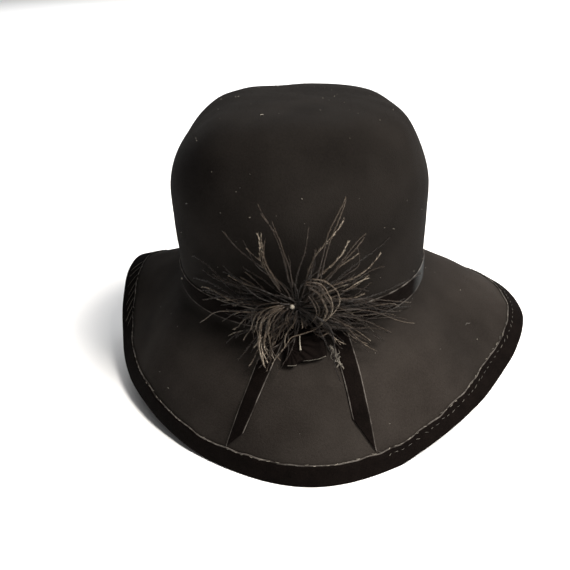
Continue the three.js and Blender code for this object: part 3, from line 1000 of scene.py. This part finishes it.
def fan_strands(rng):
    """Each lock of the solids becomes a few strands around it, with their own root, length,
    curl and tone."""
    for fan in FANS:
        first, last, count, short, long, droop, tip_lift, arch = fan
        strands = STRANDS_ABOVE if abs(first) < ABOVE_CLOCK else STRANDS_PER_LOCK
        cut = LAST_FAN_REACH if fan is FANS[-1] else 1
        for i in range(count):
            at = i / max(count - 1, 1)
            reach = (short + (long - short) * LOCK_PATTERN[i % len(LOCK_PATTERN)]) * cut
            for _ in range(strands):
                clock = first + (last - first) * at + rng.normal(0, 4)
                root = rng.uniform(0.5, 7)
                angle = math.radians(clock + rng.normal(0, 25))
                bright = rng.random() < BRIGHT_SHARE
                tone = rng.uniform(0.65, 0.95) if bright else rng.uniform(0.12, 0.48)
                yield tone, rng.uniform(2, 3.8), strand_path(
                    clock=clock, length=reach * LOCK_LENGTH * rng.uniform(0.42, 1.08),
                    turn=droop * rng.uniform(-0.6, 3.2), tip_lift=tip_lift + rng.normal(0, 0.012),
                    arch=arch * rng.uniform(0.2, 1.9), root_lift=ROOT_LIFT + rng.uniform(-3.5, 1.6),
                    wave=rng.uniform(5, 24), phase=rng.uniform(0, 2 * math.pi),
                    aside=root * math.sin(angle), above=root * math.cos(angle),
                )


def curled_strands(rng):
    """The strands of the table of curls."""
    for clock, spread, count, length, turn, arch, tone, aside, above in CURLS:
        for _ in range(count):
            yield np.clip(tone * rng.uniform(0.4, 1.2), 0, 1), rng.uniform(1.6, 2.8), strand_path(
                clock=clock + rng.normal(0, spread / 2), length=length * rng.uniform(0.5, 1.1),
                turn=turn * rng.uniform(0.75, 1.2), tip_lift=rng.normal(0, 0.02),
                arch=arch * rng.uniform(0.6, 1.3), root_lift=ROOT_LIFT + rng.uniform(-0.5, 3),
                wave=rng.uniform(3, 18), phase=rng.uniform(0, 2 * math.pi),
                aside=aside + rng.normal(0, 1.6), above=above + rng.normal(0, 1.6),
            )


def down_strands(rng):
    """Short dark down that fills the rosette's middle."""
    for _ in range(DOWN_COUNT):
        clock = rng.uniform(-180, 180)
        yield rng.uniform(0.02, 0.22), rng.uniform(1.6, 2.6), strand_path(
            clock=clock, length=rng.uniform(7, 17),
            turn=rng.uniform(-30, 60), tip_lift=0,
            arch=rng.uniform(0, 0.15), root_lift=ROOT_LIFT + rng.uniform(-5.5, 0.5),
            wave=rng.uniform(2, 16), phase=rng.uniform(0, 2 * math.pi),
            aside=rng.normal(0, 2.5), above=rng.normal(0, 2.5),
        )


def barbs_along(path, rng, tone, root_tone, pile, size):
    """Short barbs all round a strand: thin closed spikes that lean to its tip."""
    along = lengths_along(path)
    total = along[-1]

    def at(places):
        return np.stack([np.interp(places, along, path[:, axis]) for axis in range(3)], axis=1)

    places = np.repeat(np.arange(BARE_ROOT * total, total, BARB_SPACING), 2)
    places = np.clip(places + rng.uniform(-0.2, 0.2, len(places)), 0, total)
    tangent = unit(at(places + 1) - at(places - 1))
    random = unit(rng.normal(size=(len(places), 3)))
    side = unit(random - tangent * (random * tangent).sum(axis=1, keepdims=True))
    lean = np.radians(rng.uniform(8, 28, len(places)))[:, None]
    long = size * rng.uniform(0.6, 1.25, len(places)) * (1 - 0.4 * places / total)
    base = at(places)
    tip = base + (tangent * np.cos(lean) + side * np.sin(lean)) * long[:, None]
    across = np.cross(tangent, side) * BARB_HALF_WIDTH
    foot = tangent * BARB_HALF_WIDTH * 2
    points = np.stack([base + across, base - across, base + foot, tip], axis=1).reshape(-1, 3)
    faces = []
    for a in range(0, 4 * len(places), 4):
        faces += [(a, a + 2, a + 1), (a, a + 1, a + 3), (a + 1, a + 2, a + 3), (a + 2, a, a + 3)]
    fade = root_tone + (1 - root_tone) * places / total
    shade = tone * rng.uniform(0.45, 1.35, len(places)) * fade
    pile.add(points, faces, np.repeat(np.clip(shade, 0, 1), 4))


def feather_rosette():
    """All strands and their barbs. Each row is a strand's radius, root tone, tone, barb length
    and path."""
    rng = np.random.default_rng(7)
    rows = [(STRAND_RADIUS, ROOT_TONE, *row)
            for kind in (down_strands, fan_strands, curled_strands) for row in kind(rng)]
    rows += [(DRAWN_RADIUS, DRAWN_ROOT_TONE, *row) for row in drawn_strands(rng)]
    strands = Pile()
    barbs = Pile()
    for radius, root_tone, tone, size, path in rows:
        radii = radius * (1 - STRAND_TAPER * STRAND_SHARES)
        fade = root_tone + (1 - root_tone) * STRAND_SHARES
        strands.add_tube(path, radii, np.repeat(tone * fade, 4))
        barbs_along(path, rng, tone, root_tone, barbs, size)
    ride_and_replace(strands.piece("feather_strands", FEATHER), "feather", "feather_pom")
    ride_and_replace(barbs.piece("feather_barbs", FEATHER), "feather", "feather_pom")


# Small bright details. Their places are given as aside, run and lift.
TOP_OF_KNOT = KNOT_SEAT + KNOT_THICK

# The cut quill end in the rosette's middle: aside, run, then lifts above the roots and radii
QUILL_PLACE = (-8.4, -18.6)
QUILL_LIFTS = (1, 3, 4.5, 5.2)
QUILL_RADII = (1.3, 1.35, 1.3, 0.5)

# A pin's head on the band's left end: its bearing, then lifts above the ribbon and radii
PIN_BEARING = -74
PIN_LIFTS = np.array([-0.3, 0.2, 0.6, 0.8])
PIN_RADII = (0.5, 0.75, 0.6, 0.25)

# A thread on the knot that ends in a drop of glue
THREAD_PLACES = [
    (-5.4, 0, TOP_OF_KNOT + 0.6),
    (-5.3, 5, TOP_OF_KNOT + 0.5),
    (-5, 10, TOP_OF_KNOT + 0.3),
]
THREAD_RADII = (0.22, 0.3, 0.3, 0.75)

# The pale woven edge along the knot's lower side: first and last place across, and tone
PALE_EDGES = [
    (-0.82, -0.42, 0.7),
    (-0.24, 0.5, 0.45),
    (0.5, 0.93, 0.75),
]
PALE_EDGE_LIFT = 1.1
PALE_EDGE_RADII = (0.3, 0.42, 0.3)

# A bit of fluff beside the right tail: how many hairs, where along the felt, and their radii
FLUFF_COUNT = 30
FLUFF_RUN = (8, 23)
FLUFF_RADII = (0.16, 0.12, 0.05)


def cord(pile, places, radii, tone):
    """A round cord through places over the fold."""
    places = np.array(places, float)
    count = 6 * len(places)
    path = over_fold(*line_through(places, count).T)
    thick = np.interp(np.linspace(0, 1, count), np.linspace(0, 1, len(radii)), radii)
    pile.add_tube(path, thick, tone, sides=8)


def quill_end(pile):
    cord(pile, [(*QUILL_PLACE, ROOT_LIFT + lift) for lift in QUILL_LIFTS], QUILL_RADII, 0.75)


def pin_head(pile):
    path = felt_at(PIN_BEARING, -BAND_RISE - BAND_WIDTH / 2, RIBBON_TOP + PIN_LIFTS)
    pile.add_tube(path, PIN_RADII, 0.9, sides=8)


def pale_edges(pile):
    for first, last, tone in PALE_EDGES:
        across = np.linspace(first, last, 5)
        aside = KNOT_ASIDE + across * KNOT_WIDTH / 2
        lift = KNOT_SEAT + PALE_EDGE_LIFT + 0 * across
        places = np.stack([aside, knot_end(across) + 0.1, lift], axis=1)
        cord(pile, places, PALE_EDGE_RADII, tone)


def fluff(pile):
    rng = np.random.default_rng(33)
    for _ in range(FLUFF_COUNT):
        run = rng.uniform(*FLUFF_RUN)
        start = np.array([9 + 0.25 * run + rng.normal(0, 0.5), run, RIBBON_TOP + 0.8])
        way = rng.normal(0, 1, (4, 3)) * (0.55, 1.1, 0.3)
        places = start + np.concatenate([np.zeros((1, 3)), np.cumsum(way, axis=0)])
        places[:, 2] = np.maximum(places[:, 2], RIBBON_TOP + 0.3)
        cord(pile, places, FLUFF_RADII, rng.uniform(0.25, 0.75))


def knot_details():
    """The quill end, pin, thread, pale edges and fluff at the front, as one piece."""
    pile = Pile()
    quill_end(pile)
    pin_head(pile)
    cord(pile, THREAD_PLACES, THREAD_RADII, 0.85)
    pale_edges(pile)
    fluff(pile)
    ride_and_replace(pile.piece("knot_details", THREAD), "ribbon")


# Lint: how many bits, and their step lengths in mm with the share of each
LINT_COUNT = 150
LINT_LENGTHS = (0.4, 0.8, 2.2)
LINT_SHARES = (0.5, 0.4, 0.1)

# Nap: how many loose fibres, the share of them on the brim, their lengths in mm and radii
NAP_COUNT = 5000
NAP_ON_BRIM = 0.45
NAP_LENGTHS = (0.5, 1.6)
NAP_RADII = (0.045, 0.035, 0.015)


def lint():
    """Specks and short bits of thread caught on the felt."""
    rng = np.random.default_rng(41)
    pile = Pile()
    for _ in range(LINT_COUNT):
        bearing = rng.uniform(-180, 180)
        run = rng.uniform(-0.9 * CROWN_LENGTH, 0.75 * brim_length(bearing)[0])
        long = rng.choice(LINT_LENGTHS, p=LINT_SHARES)
        places = np.cumsum(rng.normal(0, 0.25, (4, 2)) * long, axis=0)
        path = felt_at(bearing + places[:, 0], run + places[:, 1], FELT_HALF + 0.3)
        radii = rng.uniform(0.12, 0.32) * np.array([0.5, 1, 1, 0.5])
        pile.add_tube(path, radii, rng.uniform(0.25, 1) ** 1.6)
    ride_and_replace(pile.piece("lint", THREAD), "felt")


def felt_nap():
    """Short loose fibres that stand off the felt."""
    rng = np.random.default_rng(43)
    pile = Pile()
    bearing = rng.uniform(-180, 180, NAP_COUNT)
    rim = brim_length(bearing) - BINDING_WIDTH
    run = rng.uniform(-0.97 * CROWN_LENGTH, 1, NAP_COUNT)
    run = np.where(rng.random(NAP_COUNT) < NAP_ON_BRIM, rng.random(NAP_COUNT) * rim, run)
    root = felt_at(bearing, run, FELT_HALF - 0.1)
    rise = unit(felt_at(bearing, run, FELT_HALF + 1) - root)
    way = unit(rise * 0.7 + rng.normal(0, 0.8, root.shape))
    bend = unit(rise + rng.normal(0, 1, root.shape))
    long = rng.uniform(*NAP_LENGTHS, NAP_COUNT)[:, None]
    tip = root + (way * 0.8 + bend * 0.5) * long
    paths = np.stack([root, root + way * long * 0.5, tip], axis=1)
    # The fibres take the felt's painted light and shade as their tone
    for path, tone in zip(paths, painted_shade_tone(bearing, run)):
        pile.add_tube(path, NAP_RADII, tone, sides=3)
    ride_and_replace(pile.piece("felt_nap", FELT), "felt")


# The camera, fitted to the photo: where the middle of the crown's foot lies in the picture, the
# picture's side and the focal length in pixels, the distance in mm, and angles in degrees
FOOT_ON_PIXELS = (302.2, 270.2)
IMAGE_PIXELS = 570
FOCAL_PIXELS = 749.5
CAMERA_DISTANCE = 544.7
CAMERA_ELEVATION = 24
CAMERA_AZIMUTH = -1.7
CAMERA_ROLL = -2
SENSOR = 36

# The floor's half side in metres, the light from all round, and the lamps: name, place and target
# in metres, size, power and colour
FLOOR_REACH = 6
FLOOR_COLOUR = (0.9, 0.9, 0.9, 1)
WORLD_STRENGTH = 0.14
LAMPS = [
    ("key", (0.72, -0.62, 1.2), (0, 0, 0.08), 0.5, 62, (1, 0.955, 0.9)),
    ("fill", (0.1, 0.9, 1.2), (0, 0, 0.08), 1.0, 5, (0.95, 0.97, 1)),
    ("back", (0, 2.6, 1.6), (0, 2.8, 0), 3, 90, (1, 1, 1)),
]


def make_camera():
    elevation = math.radians(CAMERA_ELEVATION)
    azimuth = math.radians(CAMERA_AZIMUTH)
    back = np.array([
        math.sin(azimuth) * math.cos(elevation),
        -math.cos(azimuth) * math.cos(elevation),
        math.sin(elevation),
    ])
    right = np.array([math.cos(azimuth), math.sin(azimuth), 0])
    top = np.cross(back, right)
    roll = math.radians(CAMERA_ROLL)
    rolled_right = right * math.cos(roll) + top * math.sin(roll)
    rolled_top = top * math.cos(roll) - right * math.sin(roll)
    place = (np.array(FOOT_CENTRE) + back * CAMERA_DISTANCE) * MM
    camera = bpy.data.objects.new("camera", bpy.data.cameras.new("camera"))
    columns = np.column_stack([rolled_right, rolled_top, back, place])
    camera.matrix_world = Matrix(columns.tolist() + [[0, 0, 0, 1]])
    camera.data.sensor_width = SENSOR
    camera.data.lens = SENSOR * FOCAL_PIXELS / IMAGE_PIXELS
    camera.data.shift_x = (IMAGE_PIXELS / 2 - FOOT_ON_PIXELS[0]) / IMAGE_PIXELS
    camera.data.shift_y = (FOOT_ON_PIXELS[1] - IMAGE_PIXELS / 2) / IMAGE_PIXELS
    camera.data.clip_start = 0.01
    bpy.context.scene.collection.objects.link(camera)
    bpy.context.scene.camera = camera


def add_area_light(name, place, target, size, power, colour):
    light = bpy.data.lights.new(name, "AREA")
    light.size = size
    light.energy = power
    light.color = colour
    holder = bpy.data.objects.new(name, light)
    holder.location = place
    way = Vector(target) - Vector(place)
    holder.rotation_euler = way.to_track_quat("-Z", "Y").to_euler()
    bpy.context.scene.collection.objects.link(holder)


def make_floor():
    mesh = bpy.data.meshes.new("floor")
    signs = [(-1, -1), (1, -1), (1, 1), (-1, 1)]
    corners = [(x * FLOOR_REACH, y * FLOOR_REACH, 0) for x, y in signs]
    mesh.from_pydata(corners, [], [(0, 1, 2, 3)])
    floor = bpy.data.objects.new("floor", mesh)
    material, _, shader = new_material("floor")
    shader.inputs["Base Color"].default_value = FLOOR_COLOUR
    shader.inputs["Roughness"].default_value = 0.9
    mesh.materials.append(material)
    bpy.context.scene.collection.objects.link(floor)


def make_light():
    world = bpy.data.worlds.new("studio")
    bpy.context.scene.world = world
    world.use_nodes = True
    sky = world.node_tree.nodes["Background"]
    sky.inputs["Color"].default_value = (1, 1, 1, 1)
    sky.inputs["Strength"].default_value = WORLD_STRENGTH
    for lamp in LAMPS:
        add_area_light(*lamp)
    bpy.context.scene.view_settings.view_transform = "Standard"


FELT = felt_material()
BAND = ribbon_material("band_ribbon", BAND_WIDTH, GLINT_ALONG)
TAIL = ribbon_material("tail_ribbon", TAIL_WIDTH)
BINDING = ribbon_material("binding_ribbon", 2 * BINDING_WIDTH)
FEATHER = feather_material()
THREAD = thread_material()

make_camera()
make_floor()
make_light()
felt_body()
crown_band()
brim_binding()
for tail in TAILS:
    ribbon_tail(*tail)
ribbon_knot()
rim_stitches()
knot_details()
feather_rosette()
lint()
felt_nap()
